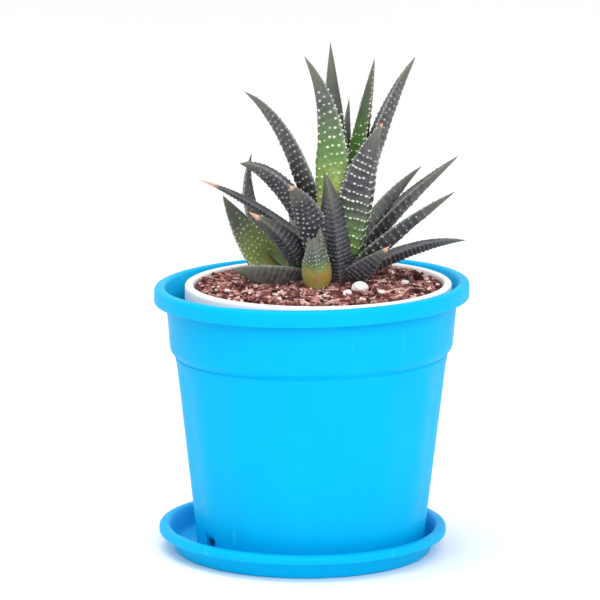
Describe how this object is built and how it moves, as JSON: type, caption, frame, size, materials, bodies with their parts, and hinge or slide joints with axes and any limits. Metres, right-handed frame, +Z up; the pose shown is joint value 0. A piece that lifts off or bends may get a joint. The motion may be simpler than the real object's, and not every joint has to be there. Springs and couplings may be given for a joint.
{
  "type": "potted haworthia",
  "caption": "Dotted rosette succulent with offsets in a thin white pot, standing inside a tapered blue plastic pot on a blue saucer.",
  "frame": {"origin": "on the outer pot's axis, level with the saucer's flat underside", "axes": "+Z up; the front of the plant, as pictured, faces -Y; +X is to the right of that view"},
  "size_m": [0.125, 0.125, 0.2029],
  "materials": {
    "blue_saucer": "semi-gloss moulded polypropylene",
    "blue_pot": "semi-gloss moulded polypropylene, lightly scuffed",
    "white_pot": "satin white, thin wall",
    "bark_soil": "coarse reddish-brown bark and coir chips",
    "pebble": "dry white pebble",
    "stem": "fleshy green stem",
    "leaf": "waxy skin with rows of raised white tubercles"
  },
  "bodies": {
    "root": {"saucer": "blue_saucer", "outer_pot": "blue_pot", "inner_pot": "white_pot", "soil": "bark_soil", "stone_large": "pebble", "stone_small": "pebble", "stone_right": "pebble", "main_stem": "stem", "left_stem": "stem", "small_stem": "stem", "main_leaf_crown_left": "leaf", "main_leaf_crown_back": "leaf", "main_leaf_crown_right": "leaf", "main_leaf_crown_sliver": "leaf", "main_leaf_long_right": "leaf", "main_leaf_broad_front": "leaf", "main_leaf_long_left": "leaf", "main_leaf_purple_front": "leaf", "main_leaf_arched_left": "leaf", "main_leaf_upper_right": "leaf", "main_leaf_mid_right": "leaf", "main_leaf_centre_front": "leaf", "main_leaf_low_right": "leaf", "main_leaf_ground_right": "leaf", "main_leaf_short_right": "leaf", "main_leaf_orange_tip": "leaf", "main_leaf_back_upper": "leaf", "main_leaf_back_high": "leaf", "main_leaf_back_left": "leaf", "main_leaf_back_middle": "leaf", "main_leaf_back_right": "leaf", "left_leaf_upright": "leaf", "left_leaf_green_broad": "leaf", "left_leaf_pink_tip": "leaf", "left_leaf_on_soil": "leaf", "left_leaf_back_low": "leaf", "left_leaf_back_side": "leaf", "small_leaf_crown": "leaf", "small_leaf_side": "leaf", "small_leaf_front": "leaf"}
  },
  "joints": []
}
